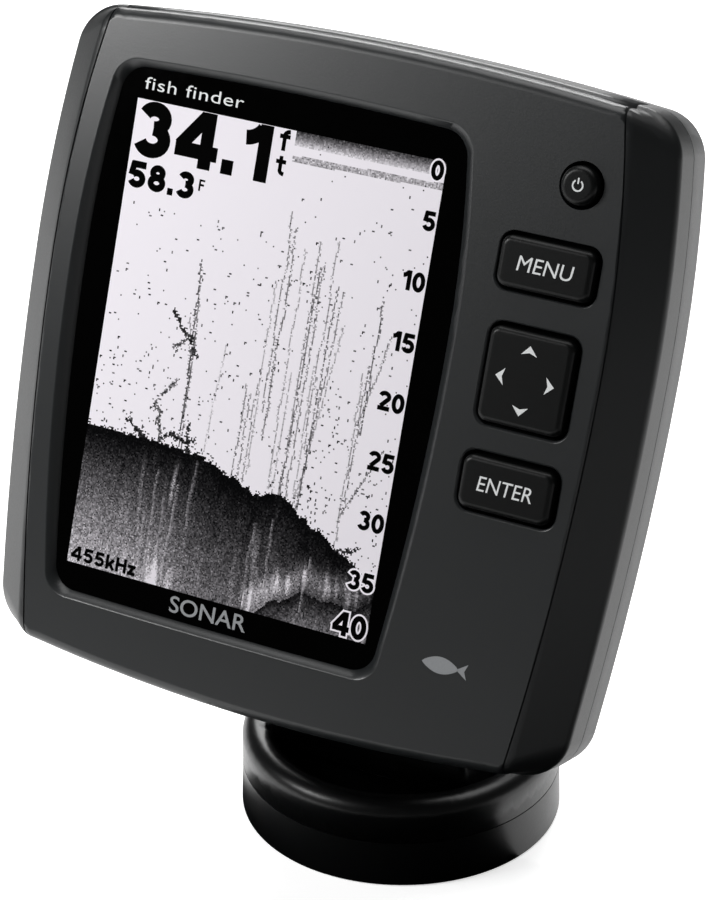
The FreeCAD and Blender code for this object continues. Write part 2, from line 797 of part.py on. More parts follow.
def case_screws():
    screws = []
    seat = tray_back - case_head_recess
    for x, z in case_screw_places:
        head = rod_y(case_head_radius, seat, seat + case_head_height, x, z)
        head = round_edges(head, 0.6, lambda edge: edge.BoundBox.YMin > seat + 1)
        slot = box(x - 2, x + 2, seat + case_head_height - 0.9, seat + case_head_height, z - 0.35, z + 0.35)
        cross = box(x - 0.35, x + 0.35, seat + case_head_height - 0.9, seat + case_head_height, z - 2, z + 2)
        shank = rod_y(case_screw_radius, seam_back - case_screw_reach + 6.5, seat, x, z)
        screws.append(head.cut(slot).cut(cross).fuse(shank).removeSplitter())
    return Part.makeCompound(screws)


def display_lens():
    return prism(lens_outline(lens_front, 0), lens_thickness)


def lens_gasket():
    outer = rounded_plate(ledge_half_width - display_clearance, ledge_half_height - display_clearance,
                          ledge_corner - display_clearance, lens_back, 0, screen_centre)
    inner = rounded_plate(screen_half_width + lens_gasket_margin, screen_half_height + lens_gasket_margin,
                          lens_gasket_corner, lens_back - 1, 1, screen_centre)
    return outer.cut(inner)


def display_slab(y0, y1):
    return rounded_plate(ledge_half_width - display_clearance, ledge_half_height - display_clearance,
                         ledge_corner - display_clearance, y0, y1, screen_centre)


def display_glass():
    return display_slab(0, glass_thickness)


def backlight():
    return display_slab(glass_thickness, display_back)


def display_frame():
    grow = display_frame_clearance + display_frame_wall
    start = lens_back + ledge_thickness + display_frame_clearance
    outer = rounded_plate(ledge_half_width + grow, ledge_half_height + grow, ledge_corner + 1, start,
                          display_back + display_frame_floor, screen_centre)
    inner = rounded_plate(ledge_half_width, ledge_half_height, ledge_corner, start - 1,
                          display_back, screen_centre)
    return outer.cut(inner)


def display_ribbon():
    low = -ledge_half_height - display_frame_clearance - display_frame_wall
    front = display_back + display_frame_floor
    z0 = low + 12
    z1 = low + 4
    strip = box(-ribbon_width / 2, ribbon_width / 2, front, front + ribbon_thickness, z1, z0)
    tail = box(-ribbon_width / 2, ribbon_width / 2, front, board_back, z1, z1 + ribbon_thickness)
    body = strip.fuse(tail).removeSplitter()
    body.translate(V(screen_centre, 0, 0))
    return body


def key_cap(size, place, rest_gap):
    x, z = place
    front = face_back - key_proud
    flange_front = plate_back + rest_gap
    flange_back = flange_front + key_flange_thickness
    half = (size[0] / 2, size[1] / 2)
    cap = rounded_plate(half[0], half[1], key_corner, front, flange_back, x, z)
    cap = round_edges(cap, key_pillow, lambda edge: edge.BoundBox.YMax < front + 0.01)
    flange = rounded_plate(half[0] + key_flange, half[1] + key_flange, key_corner,
                           flange_front, flange_back, x, z)
    return cap.fuse(flange).removeSplitter()


def push_key(size, place):
    cap = key_cap(size, place, key_rest_gap)
    return cap.fuse(rod_y(stem_radius, key_flange_back, stem_back, place[0], place[1])).removeSplitter()


def menu_key():
    return push_key(menu_key_size, menu_key_place)


def enter_key():
    return push_key(enter_key_size, enter_key_place)


def power_key():
    x, z = power_key_place
    front = face_back - key_proud
    cap = rod_y(power_key_radius, front, key_flange_back, x, z)
    cap = round_edges(cap, key_pillow, lambda edge: edge.BoundBox.YMax < front + 0.01)
    flange = rod_y(power_key_radius + key_flange, key_flange_front, key_flange_back, x, z)
    stem = rod_y(stem_radius, key_flange_back, stem_back, x, z)
    return cap.fuse([flange, stem]).removeSplitter()


def rocker_arms():
    x, z = rocker_place
    reach = rocker_stem_offset
    return ((x, z + reach), (x, z - reach), (x + reach, z), (x - reach, z))


def rocker_key():
    cap = key_cap(rocker_size, rocker_place, rocker_rest_gap)
    for x, z in rocker_arms():
        cap = cap.fuse(rod_y(stem_radius, rocker_back, stem_back, x, z))
    x, z = rocker_place
    room = actuator_size / 2 + actuator_gap
    pocket = box(x - room, x + room, rocker_back - actuator_thickness / 2 - actuator_gap, rocker_back,
                 z - room, z + room)
    return cap.cut(pocket).removeSplitter()


def rocker_actuator():
    x, z = rocker_place
    half = actuator_size / 2
    start = rocker_back - actuator_thickness / 2
    block = box(x - half, x + half, start, start + actuator_thickness, z - half, z + half)
    return round_edges(block, 0.8, lambda edge: edge.BoundBox.YLength > actuator_thickness - 0.01)


def key_domes():
    domes = []
    places = [power_key_place, menu_key_place, enter_key_place] + list(rocker_arms())
    for x, z in places:
        domes.append(rod_y(dome_radius, dome_back - dome_height, dome_back, x, z))
    return Part.makeCompound(domes)


def key_board():
    middle = (key_board_low + key_board_high) / 2
    half = (key_board_high - key_board_low) / 2
    return rounded_plate(key_board_half_width, half, 2.0, dome_back, dome_back + key_board_thickness,
                         menu_key_place[0], middle)


def main_board():
    board = rounded_plate(board_half_width, board_half_height, board_corner, board_back, board_face)
    for x, z in board_post_places:
        board = board.fuse(rounded_plate(board_ear, board_ear, 2.0, board_back, board_face, x, z))
    board = board.removeSplitter()
    for x, z in board_post_places:
        board = board.cut(rod_y(small_screw_radius, board_back, board_face, x, z))
    return board


def board_screws():
    screws = []
    for x, z in board_post_places:
        head = rod_y(small_head_radius, board_face, board_face + small_head_height, x, z)
        shank = rod_y(small_screw_radius, board_back - small_screw_grip + 0.5, board_face, x, z)
        screws.append(head.fuse(shank).removeSplitter())
    return Part.makeCompound(screws)


def chip(half_width, half_height, height, place):
    body = box(place[0] - half_width, place[0] + half_width, board_face, board_face + height,
               place[1] - half_height, place[1] + half_height)
    top = board_face + height - 0.01
    return body.makeChamfer(chip_chamfer, [edge for edge in body.Edges if edge.BoundBox.YMin > top])


def processor():
    return chip(chip_size / 2, chip_size / 2, chip_height, chip_place)


def memory():
    return chip(memory_size[0] / 2, memory_size[1] / 2, memory_height, memory_place)


def transformer():
    x, z = transformer_place
    half = (transformer_size[0] / 2, transformer_size[1] / 2)
    top = board_face + transformer_height
    core = box(x - half[0], x + half[0], board_face, top, z - half[1], z + half[1])
    winding = rod_y(half[1] * winding_share, board_face + 2, top + winding_proud, x, z)
    return core.fuse(winding).removeSplitter()


def capacitors():
    cans = []
    for x, z in capacitor_places:
        can = rod_y(capacitor_radius, board_face, board_face + capacitor_height, x, z)
        cans.append(round_edges(can, 0.6, lambda edge: edge.BoundBox.YMin > board_face + 1))
    return Part.makeCompound(cans)


def beeper():
    x, z = beeper_place
    body = rod_y(beeper_radius, board_face, board_face + beeper_height, x, z)
    return body.cut(rod_y(1.0, board_face + beeper_height - 1.5, board_face + beeper_height, x, z))


def connector_socket():
    z = socket_height
    shell = rod_y(socket_radius, socket_floor_back - socket_floor_thickness, socket_mouth_back, 0, z)
    shell = shell.fuse(rod_y(socket_flange_radius, hump_back, hump_back + socket_flange_thickness, 0, z))
    shell = shell.cut(rod_y(socket_bore, socket_floor_back, socket_mouth_back, 0, z)).removeSplitter()
    shell = shell.cut(box(-1.2, 1.2, socket_floor_back + pin_length, socket_mouth_back,
                          z + socket_bore - 1, z + socket_bore + 1.0))
    for x, pin_z in pin_places():
        shell = shell.cut(rod_y(pin_radius, socket_floor_back - 2, socket_floor_back, x, pin_z))
    return shell


def pin_places():
    spots = []
    for k in range(pin_count):
        angle = math.radians(90 + 360 * k / pin_count)
        spots.append((pin_circle / 2 * math.cos(angle), socket_height + pin_circle / 2 * math.sin(angle)))
    return spots


def connector_pins():
    pins = []
    for x, z in pin_places():
        pin = rod_y(pin_radius, socket_floor_back - 2, socket_floor_back + pin_length, x, z)
        pins.append(round_edges(pin, 0.3, lambda edge: edge.BoundBox.YMin > socket_floor_back + 1))
    return Part.makeCompound(pins)


def socket_nut():
    start = hump_back - shell_wall - socket_nut_thickness
    nut = rod_y(socket_nut_radius, start, start + socket_nut_thickness, 0, socket_height)
    return nut.cut(rod_y(socket_radius, start, start + socket_nut_thickness, 0, socket_height))


stand_parts = {
    "base_plate": base_plate,
    "friction_washer": friction_washer,
    "turret": turret,
    "swivel_bolt": swivel_bolt,
    "swivel_washer": swivel_washer,
    "cradle": cradle,
    "tilt_bolt": tilt_bolt,
    "tilt_nut": tilt_nut,
    "tilt_washers": tilt_washers,
}

head_parts = {
    "latch": latch,
    "latch_pin": latch_pin,
    "latch_spring": latch_spring,
    "front_panel": front_panel,
    "side_rail_left": lambda: side_rail(-1),
    "side_rail_right": lambda: side_rail(1),
    "rear_housing": rear_housing,
    "case_gasket": case_gasket,
    "case_screws": case_screws,
    "display_lens": display_lens,
    "lens_gasket": lens_gasket,
    "display_glass": display_glass,
    "backlight": backlight,
    "display_frame": display_frame,
    "display_ribbon": display_ribbon,
    "menu_key": menu_key,
    "enter_key": enter_key,
    "power_key": power_key,
    "rocker_key": rocker_key,
    "rocker_actuator": rocker_actuator,
    "key_domes": key_domes,
    "key_board": key_board,
    "main_board": main_board,
    "board_screws": board_screws,
    "processor": processor,
    "memory": memory,
    "transformer": transformer,
    "capacitors": capacitors,
    "beeper": beeper,
    "connector_socket": connector_socket,
    "connector_pins": connector_pins,
    "socket_nut": socket_nut,
}

os.makedirs("parts", exist_ok=True)
for name, make in stand_parts.items():
    make().exportStep(f"parts/{name}.step")
for name, make in head_parts.items():
    place_head(make()).exportStep(f"parts/{name}.step")
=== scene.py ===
import json
import math
import random
import bpy
import bmesh
from mathutils import Matrix, Vector, noise

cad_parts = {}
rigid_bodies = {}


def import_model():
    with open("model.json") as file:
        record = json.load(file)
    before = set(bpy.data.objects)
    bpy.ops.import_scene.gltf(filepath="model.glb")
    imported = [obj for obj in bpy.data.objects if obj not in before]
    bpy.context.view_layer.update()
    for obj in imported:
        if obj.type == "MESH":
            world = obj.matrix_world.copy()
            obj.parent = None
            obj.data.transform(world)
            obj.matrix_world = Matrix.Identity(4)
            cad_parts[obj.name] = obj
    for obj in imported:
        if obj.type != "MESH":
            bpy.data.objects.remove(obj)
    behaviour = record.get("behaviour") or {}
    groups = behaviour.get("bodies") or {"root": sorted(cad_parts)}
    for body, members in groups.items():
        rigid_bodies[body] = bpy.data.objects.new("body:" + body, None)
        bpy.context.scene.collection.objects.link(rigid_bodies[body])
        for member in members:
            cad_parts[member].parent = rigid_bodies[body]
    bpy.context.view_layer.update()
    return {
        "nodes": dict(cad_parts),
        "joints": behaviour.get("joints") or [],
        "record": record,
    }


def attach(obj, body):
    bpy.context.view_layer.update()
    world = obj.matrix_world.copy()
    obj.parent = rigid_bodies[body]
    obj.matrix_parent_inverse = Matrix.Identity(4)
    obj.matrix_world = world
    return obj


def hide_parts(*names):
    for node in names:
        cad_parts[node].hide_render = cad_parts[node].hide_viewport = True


for leftover in list(bpy.data.objects):
    bpy.data.objects.remove(leftover)

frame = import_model()
nodes = frame["nodes"]
joints = {joint["name"]: joint for joint in frame["joints"]}
mm = 0.001

# the head leans back on its stand, so everything on it is placed along these three directions
across = Vector((1, 0, 0))
up = Vector(joints["head_lift"]["axis"]).normalized()
back = Vector(joints["power_key_press"]["axis"]).normalized()


def span(node, axis):
    reach = [corner.co.dot(axis) for corner in nodes[node].data.vertices]
    return min(reach), max(reach)


def middle(node, axis):
    low, high = span(node, axis)
    return (low + high) / 2


def onHead(x, z, depth, turn=0.0):
    place = Matrix((across, up, -back)).transposed().to_4x4()
    place.translation = across * x + up * z + back * depth
    return place @ Matrix.Rotation(turn, 4, "Z") @ Matrix.Scale(mm, 4)


print("frame loaded", len(nodes), "nodes")


def linear(hexColour):
    channels = [int(hexColour[k:k + 2], 16) / 255 for k in (1, 3, 5)]
    return [c / 12.92 if c <= 0.04045 else ((c + 0.055) / 1.055) ** 2.4 for c in channels] + [1.0]


def addNode(tree, kind, links=(), **settings):
    node = tree.nodes.new(kind)
    for key, value in settings.items():
        if key.startswith("in_"):
            socket = key[3:]
            node.inputs[int(socket) if socket.isdigit() else socket.replace("_", " ")].default_value = value
        else:
            setattr(node, key, value)
    for source, target in links:
        tree.links.new(source, node.inputs[target])
    return node


def newMaterial(name):
    material = bpy.data.materials.new(name)
    material.use_nodes = True
    tree = material.node_tree
    tree.nodes.clear()
    shader = addNode(tree, "ShaderNodeBsdfPrincipled")
    output = addNode(tree, "ShaderNodeOutputMaterial")
    tree.links.new(shader.outputs[0], output.inputs[0])
    place = addNode(tree, "ShaderNodeTexCoord").outputs["Object"]
    return material, tree, shader, place


def mouldedPlastic(name, hexColour, lighterHex, roughness, grainMm, bumpMm, patchMm=35.0, ior=1.5,
                   shine=0.5):
    material, tree, shader, place = newMaterial(name)
    patches = addNode(tree, "ShaderNodeTexNoise", [(place, "Vector")], in_Scale=1 / (patchMm * mm),
                      in_Detail=3.0)
    colour = addNode(tree, "ShaderNodeMix", [(patches.outputs[0], 0)], data_type="RGBA",
                     in_6=linear(hexColour), in_7=linear(lighterHex))
    tree.links.new(colour.outputs[2], shader.inputs["Base Color"])
    grain = addNode(tree, "ShaderNodeTexNoise", [(place, "Vector")], in_Scale=1 / (grainMm * mm),
                    in_Detail=2.0)
    bump = addNode(tree, "ShaderNodeBump", [(grain.outputs[0], "Height")], in_Strength=1.0,
                   in_Distance=bumpMm * mm)
    tree.links.new(bump.outputs[0], shader.inputs["Normal"])
    dull = addNode(tree, "ShaderNodeMapRange", [(grain.outputs[0], 0)], in_3=roughness - 0.05,
                   in_4=roughness + 0.05)
    tree.links.new(dull.outputs[0], shader.inputs["Roughness"])
    shader.inputs["IOR"].default_value = ior
    shader.inputs["Specular IOR Level"].default_value = shine
    return material


def plainMetal(name, hexColour, roughness, scratchMm):
    material, tree, shader, place = newMaterial(name)
    shader.inputs["Metallic"].default_value = 1.0
    shader.inputs["Base Color"].default_value = linear(hexColour)
    scratches = addNode(tree, "ShaderNodeTexNoise", [(place, "Vector")], in_Scale=1 / (scratchMm * mm),
                        in_Detail=4.0)
    dull = addNode(tree, "ShaderNodeMapRange", [(scratches.outputs[0], 0)], in_3=roughness - 0.08,
                   in_4=roughness + 0.1)
    tree.links.new(dull.outputs[0], shader.inputs["Roughness"])
    bump = addNode(tree, "ShaderNodeBump", [(scratches.outputs[0], "Height")], in_Strength=0.5,
                   in_Distance=0.01 * mm)
    tree.links.new(bump.outputs[0], shader.inputs["Normal"])
    return material


# each finish is named after the real one it stands for
finishes = {
    # spark-eroded mould grain: a soft dark grey that spreads a highlight over the bowed face
    "face_plastic": mouldedPlastic("sparkTexturedAbs", "#1B1D1E", "#212324", 0.34, 0.45, 0.012),
    # smoother and darker, so the rails read as separate pieces beside the face
    "rail_plastic": mouldedPlastic("satinAbsRail", "#121415", "#17191A", 0.4, 0.5, 0.012),
    # coarser grain at the back, duller than the face
    "housing_plastic": mouldedPlastic("sparkTexturedAbsRear", "#1E2021", "#252728", 0.45, 0.45, 0.02),
    # glass-filled nylon: nearly black, with a long soft sheen round the rings
    "stand_plastic": mouldedPlastic("satinNylonStand", "#08090A", "#0C0D0E", 0.34, 0.6, 0.012),
    # matt rubber: black keys with only a faint highlight at their edges
    "key_rubber": mouldedPlastic("siliconeKeypad", "#060707", "#0A0B0B", 0.36, 0.4, 0.008, ior=1.42,
                                 shine=0.3),
    # dull rubber that gives no highlight
    "seal_rubber": mouldedPlastic("nitrileSeal", "#151515", "#1B1B1B", 0.7, 0.5, 0.01),
    # printed black behind a coated clear sheet: deep black with almost no mirror image
    "lens_gloss": mouldedPlastic("backPrintedAcrylic", "#010101", "#020202", 0.08, 3.0, 0.0005, ior=1.49,
                                 shine=0.08),
    # grey-green glass, as an unlit display looks
    "display_glass": mouldedPlastic("liquidCrystalGlass", "#7D8478", "#868D80", 0.12, 2.0, 0.0005, ior=1.52),
    # milky and bright
    "light_guide": mouldedPlastic("acrylicLightGuide", "#D8DAD6", "#E2E4E0", 0.3, 1.0, 0.002),
    # bright soft metal with broad rolling marks
    "pressed_steel": plainMetal("tinPlatedSteel", "#B8BABA", 0.32, 2.0),
    # slightly blue-grey, fine marks
    "screw_steel": plainMetal("passivatedSteel", "#9FA2A5", 0.3, 0.8),
    # amber and shiny
    "flex_film": mouldedPlastic("polyimideFilm", "#A8661F", "#B87428", 0.3, 1.0, 0.002),
    # glossy green lacquer
    "board_laminate": mouldedPlastic("solderMaskedLaminate", "#12482C", "#185636", 0.35, 0.8, 0.01),
    # matt charcoal
    "chip_resin": mouldedPlastic("chipEpoxy", "#17181A", "#1E1F21", 0.55, 0.2, 0.006),
    # grainy dark grey ceramic
    "ferrite": mouldedPlastic("sinteredFerrite", "#2A2A2B", "#333334", 0.6, 0.3, 0.01),
    # pale drawn metal
    "can_aluminium": plainMetal("drawnAluminiumCan", "#C8CACC", 0.28, 1.2),
    # satin black
    "socket_plastic": mouldedPlastic("blackPolyamideSocket", "#131415", "#191A1B", 0.45, 0.5, 0.01),
    # warm yellow glint of the contacts
    "pin_brass": plainMetal("goldFlashedBrass", "#D9B45A", 0.22, 0.6),
    # waxy off-white
    "washer_nylon": mouldedPlastic("naturalNylonWasher", "#C9C6BC", "#D3D0C6", 0.45, 0.6, 0.004),
}
print("finishes made", len(finishes))

for part in nodes.values():
    for slot in part.material_slots:
        slot.material = finishes[slot.material.name.split(".")[0]]


nodeBody = {}
for body, names in frame["record"]["behaviour"]["bodies"].items():
    for name in names:
        nodeBody[name] = body

# nodes whose facets would show, each with the angle in degrees from which an edge stays sharp
smoothed = {
    "front_panel": 32, "side_rail_left": 32, "side_rail_right": 32, "rear_housing": 32,
    "power_key": 40, "menu_key": 40, "enter_key": 40, "rocker_key": 40, "base_plate": 32, "turret": 32,
    "cradle": 32, "latch": 32,
}


# the front face is one large bow, so its shading is set from that bow and not from its long thin facets
crown = {
    "radius": 2600.0,        # of the bow from top to bottom, in mm
    "near": 1.2,             # a facet this close to the bow, in degrees, lies on it
    "blend": 24.0,           # and the rounded edge beside it is blended up to this angle
}


def followCrown(mesh):
    middleZ = middle("display_glass", up)
    shares = [normal.vector.copy() for normal in mesh.corner_normals]
    bows = [(up * ((corner.co.dot(up) - middleZ) / (crown["radius"] * mm)) - back).normalized()
            for corner in mesh.vertices]
    onCrown = set()
    for face in mesh.polygons:
        if face.normal.angle(bows[face.vertices[0]]) < math.radians(crown["near"]):
            onCrown.update(face.vertices)
    for face in mesh.polygons:
        for loop in face.loop_indices:
            corner = mesh.loops[loop].vertex_index
            if corner in onCrown and face.normal.angle(bows[corner]) < math.radians(crown["blend"]):
                shares[loop] = bows[corner]
    mesh.normals_split_custom_set(shares)


def smoothCopy(node, angle):
    source = nodes[node]
    mesh = source.data.copy()
    shape = bmesh.new()
    shape.from_mesh(mesh)
    bmesh.ops.remove_doubles(shape, verts=shape.verts, dist=0.002 * mm)
    shape.to_mesh(mesh)
    shape.free()
    mesh.name = node + "Moulded"
    mesh.polygons.foreach_set("use_smooth", [True] * len(mesh.polygons))
    mesh.set_sharp_from_angle(angle=math.radians(angle))
    piece = bpy.data.objects.new(node + "Moulded", mesh)
    bpy.context.collection.objects.link(piece)
    for k, slot in enumerate(source.material_slots):
        piece.material_slots[k].material = slot.material
    if node == "front_panel":
        followCrown(mesh)
    else:
        weighted = piece.modifiers.new("evenShading", "WEIGHTED_NORMAL")
        weighted.keep_sharp = True
    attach(piece, nodeBody[node])
    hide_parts(node)
    return piece


for node, angle in smoothed.items():
    smoothCopy(node, angle)
print("smooth copies made", len(smoothed))


def flatInk(name, hexColour, roughness=0.45, paintedGlow=0.0):
    material, tree, shader, place = newMaterial(name)
    speckle = addNode(tree, "ShaderNodeTexNoise", [(place, "Vector")], in_Scale=1 / (0.5 * mm),
                      in_Detail=1.0)
    shade = addNode(tree, "ShaderNodeMapRange", [(speckle.outputs[0], 0)], in_3=0.93, in_4=1.05)
    tone = addNode(tree, "ShaderNodeMix", data_type="RGBA", blend_type="MULTIPLY", in_0=1.0,
                   in_6=linear(hexColour))
    tree.links.new(shade.outputs[0], tone.inputs[7])
    tree.links.new(tone.outputs[2], shader.inputs["Base Color"])
    shader.inputs["Roughness"].default_value = roughness
    shader.inputs["Specular IOR Level"].default_value = 0.1
    # the ink's own colour is also sent to emission: a painted glow, as printed ink gives no light of its own
    if paintedGlow:
        tree.links.new(tone.outputs[2], shader.inputs["Emission Color"])
        shader.inputs["Emission Strength"].default_value = paintedGlow
    return material


# even off-white print with a painted glow, so it stays readable in shadow
legendInk = flatInk("screenPrintedWhiteInkPaintedGlow", "#D6D8D8", 0.5, 0.12)
# silvery grey print, quieter than the legends, also with a painted glow
greyInk = flatInk("screenPrintedGreyInkPaintedGlow", "#8E9092", 0.45, 0.1)
# cells behind the same coated sheet as the lens: flat black and flat pale grey, with hardly any highlight;
# the pale grey cells carry a painted glow
lcdBlack = flatInk("lcdDarkSegment", "#040404", 0.08)
lcdWhite = flatInk("lcdClearCellPaintedGlow", "#D6D2D8", 0.08, 0.35)


def textMesh(words, bold, spacing):
    curve = bpy.data.curves.new("words", "FONT")
    curve.body = words
    curve.size = 1.0
    curve.offset = bold
    curve.space_character = spacing
    curve.resolution_u = 6
    holder = bpy.data.objects.new("words", curve)
    bpy.context.collection.objects.link(holder)
    bpy.context.view_layer.update()
    mesh = bpy.data.meshes.new_from_object(holder)
    bpy.data.objects.remove(holder)
    bpy.data.curves.remove(curve)
    return mesh


def extent(mesh, axis):
    reach = [corner.co[axis] for corner in mesh.vertices]
    return min(reach), max(reach)


def lettering(name, words, place, ink, cap, wide=1.0, bold=0.0, spacing=1.0, align="left", body="head",
              slant=0.0):
    bare = textMesh("H", bold, 1.0)
    low, high = extent(bare, 1)
    size = cap / (high - low)
    bpy.data.meshes.remove(bare)
    mesh = textMesh(words, bold, spacing)
    left, right = extent(mesh, 0)
    shift = {"left": left, "centre": (left + right) / 2, "right": right}[align]
    lean = Matrix.Identity(4)
    lean[0][1] = slant
    fit = Matrix.Diagonal((size * wide, size, 1, 1)) @ Matrix.Translation((-shift, -low, 0)) @ lean
    mesh.transform(place @ fit)
    mesh.name = name
    mesh.materials.clear()
    mesh.materials.append(ink)
    piece = bpy.data.objects.new(name, mesh)
    bpy.context.collection.objects.link(piece)
    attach(piece, body)
    return piece


# heavy figures for the display, drawn with strokes of one weight in a cell one unit high


def bowl(x, y, rx, ry, start, stop, steps=18):
    turns = [math.radians(start + (stop - start) * k / steps) for k in range(steps + 1)]
    return [(x + rx * math.cos(turn), y + ry * math.sin(turn)) for turn in turns]


def glyph(letter, weight):
    r = weight / 2
    top = 1 - r
    wide = 0.7
    half = wide / 2
    waist = 0.53
    upper = ((top + waist) / 2, (top - waist) / 2)
    lower = ((r + waist) / 2, (waist - r) / 2)
    if letter == "0":
        return wide, [bowl(half, 0.5, half - r, 0.5 - r, 0, 360, 36)]
    if letter == "1":
        return 0.52, [[(0.4, 0), (0.4, 1)], bowl(0.02, 1.08, 0.36, 0.36, 276, 335)]
    if letter == "2":
        curve = bowl(half, 0.70, half - r, 0.30 - r, 168, -30) + [(r + 0.06, r + 0.10)]
        return wide, [curve, [(0.02, r), (wide - 0.02, r)]]
    if letter == "3":
        return wide, [bowl(half - 0.01, upper[0], half - r - 0.03, upper[1], 160, -90),
                      bowl(half - 0.01, lower[0], half - r, lower[1], 90, -160)]
    if letter == "4":
        return 0.76, [[(0.55, 0), (0.55, 1)], [(0.50, 0.93), (0.08, 0.34)], [(0.0, 0.29), (0.76, 0.29)]]
    if letter == "5":
        return wide, [[(0.12, top), (wide - 0.05, top)], [(0.20, 0.96), (0.13, 0.46)],
                      bowl(half, 0.34, half - r, 0.34 - r, 138, -160)]
    if letter == "8":
        return wide, [bowl(half, upper[0], half - r - 0.04, upper[1], 0, 360, 30),
                      bowl(half, lower[0], half - r, lower[1], 0, 360, 30)]
    if letter == ".":
        return weight, [[(weight * 0.1, r), (weight * 0.9, r)]]
    if letter == "k":
        return 0.62, [[(r, 0), (r, 1)], [(weight * 0.8, 0.26), (0.56, 0.72)], [(0.28, 0.46), (0.57, 0)]]
    if letter == "H":
        return 0.76, [[(r, 0), (r, 1)], [(0.76 - r, 0), (0.76 - r, 1)], [(r, 0.52), (0.76 - r, 0.52)]]
    if letter == "z":
        return 0.54, [[(0, 0.72 - r), (0.54, 0.72 - r)], [(0.44, 0.66), (0.1, 0.08)], [(0, r), (0.54, r)]]
    if letter == "f":
        hook = bowl(0.42, 0.74, 0.22, 0.26 - r, 180, 95, 8)
        return 0.44, [[(0.2, 0), (0.2, 0.74)] + hook, [(0, 0.66), (0.42, 0.66)]]
    if letter == "t":
        hook = bowl(0.4, 0.26, 0.2, 0.26 - r, 180, 265, 8)
        return 0.42, [[(0.2, 0.95), (0.2, 0.26)] + hook, [(0, 0.68), (0.42, 0.68)]]
    return 0.56, [[(r, 0), (r, 1)], [(r, top), (0.56, top)], [(r, 0.52), (0.5, 0.52)]]


# strokes are round rods, pressed flat to this share of their thickness
strokeDepth = 0.004


def figures(name, words, place, ink, cap, weight, wide=1.0, gap=0.07, align="left", grow=0.0):
    curve = bpy.data.curves.new(name, "CURVE")
    curve.dimensions = "3D"
    curve.bevel_depth = weight * cap / 2 + grow
    curve.bevel_resolution = 0
    curve.use_fill_caps = True
    pen = 0.0
    for letter in words:
        advance, strokes = glyph(letter, weight)
        for stroke in strokes:
            closed = (Vector(stroke[0]) - Vector(stroke[-1])).length < 1e-6
            points = [Vector(((x * wide + pen) * cap, y * cap, 0)) for x, y in stroke]
            if closed:
                points = points[:-1]
            else:
                points[0] += (points[0] - points[1]).normalized() * grow
                points[-1] += (points[-1] - points[-2]).normalized() * grow
            spline = curve.splines.new("POLY")
            spline.points.add(len(points) - 1)
            for k, point in enumerate(points):
                spline.points[k].co = (*point, 1)
            spline.use_cyclic_u = closed
        pen += advance * wide + gap
    total = (pen - gap) * cap
    holder = bpy.data.objects.new(name, curve)
    bpy.context.collection.objects.link(holder)
    bpy.context.view_layer.update()
    mesh = bpy.data.meshes.new_from_object(holder)
    bpy.data.objects.remove(holder)
    bpy.data.curves.remove(curve)
    shift = {"left": 0, "centre": total / 2, "right": total}[align]
    flatten = Matrix.Diagonal((1, 1, strokeDepth, 1))
    mesh.transform(place @ Matrix.Translation((-shift, 0, 0)) @ flatten)
    mesh.polygons.foreach_set("use_smooth", [False] * len(mesh.polygons))
    mesh.name = name
    mesh.materials.clear()
    mesh.materials.append(ink)
    piece = bpy.data.objects.new(name, mesh)
    bpy.context.collection.objects.link(piece)
    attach(piece, "head")
    return piece


screen = {
    "wide": 74.5, "tall": 102.8, "cell": 0.31,
    "proud": 0.02,           # the picture lies this far in front of the lens, in mm
    "seed": 11,
}
lensFront = span("display_lens", back)[0]
screenX = middle("display_glass", across)
screenZ = middle("display_glass", up)


def onScreen(u, v, proud=0.0):
    x = screenX + (u - screen["wide"] / 2) * mm
    z = screenZ + (screen["tall"] / 2 - v) * mm
    return onHead(x, z, lensFront - (screen["proud"] + proud) * mm)


# lines over the picture as (u, v) in mm from its top left corner: the bed, a second echo, depth of its fade
floorLine = [(0, 72), (14, 72), (27.7, 72.7), (36, 75), (41.9, 77.4), (49.5, 77), (58.4, 81.6), (66, 86),
             (74.5, 91)]
secondLine = [(45, 104), (52, 99), (58, 96), (66, 96.5), (70, 97), (74.5, 94)]
fadeDepth = [(0, 27), (20, 33), (34, 50), (50, 46), (74.5, 60)]


def follow(line, u):
    if u <= line[0][0]:
        return line[0][1]
    for (u0, v0), (u1, v1) in zip(line, line[1:]):
        if u <= u1:
            share = (u - u0) / (u1 - u0)
            share = share * share * (3 - 2 * share)
            return v0 + (v1 - v0) * share
    return line[-1][1]


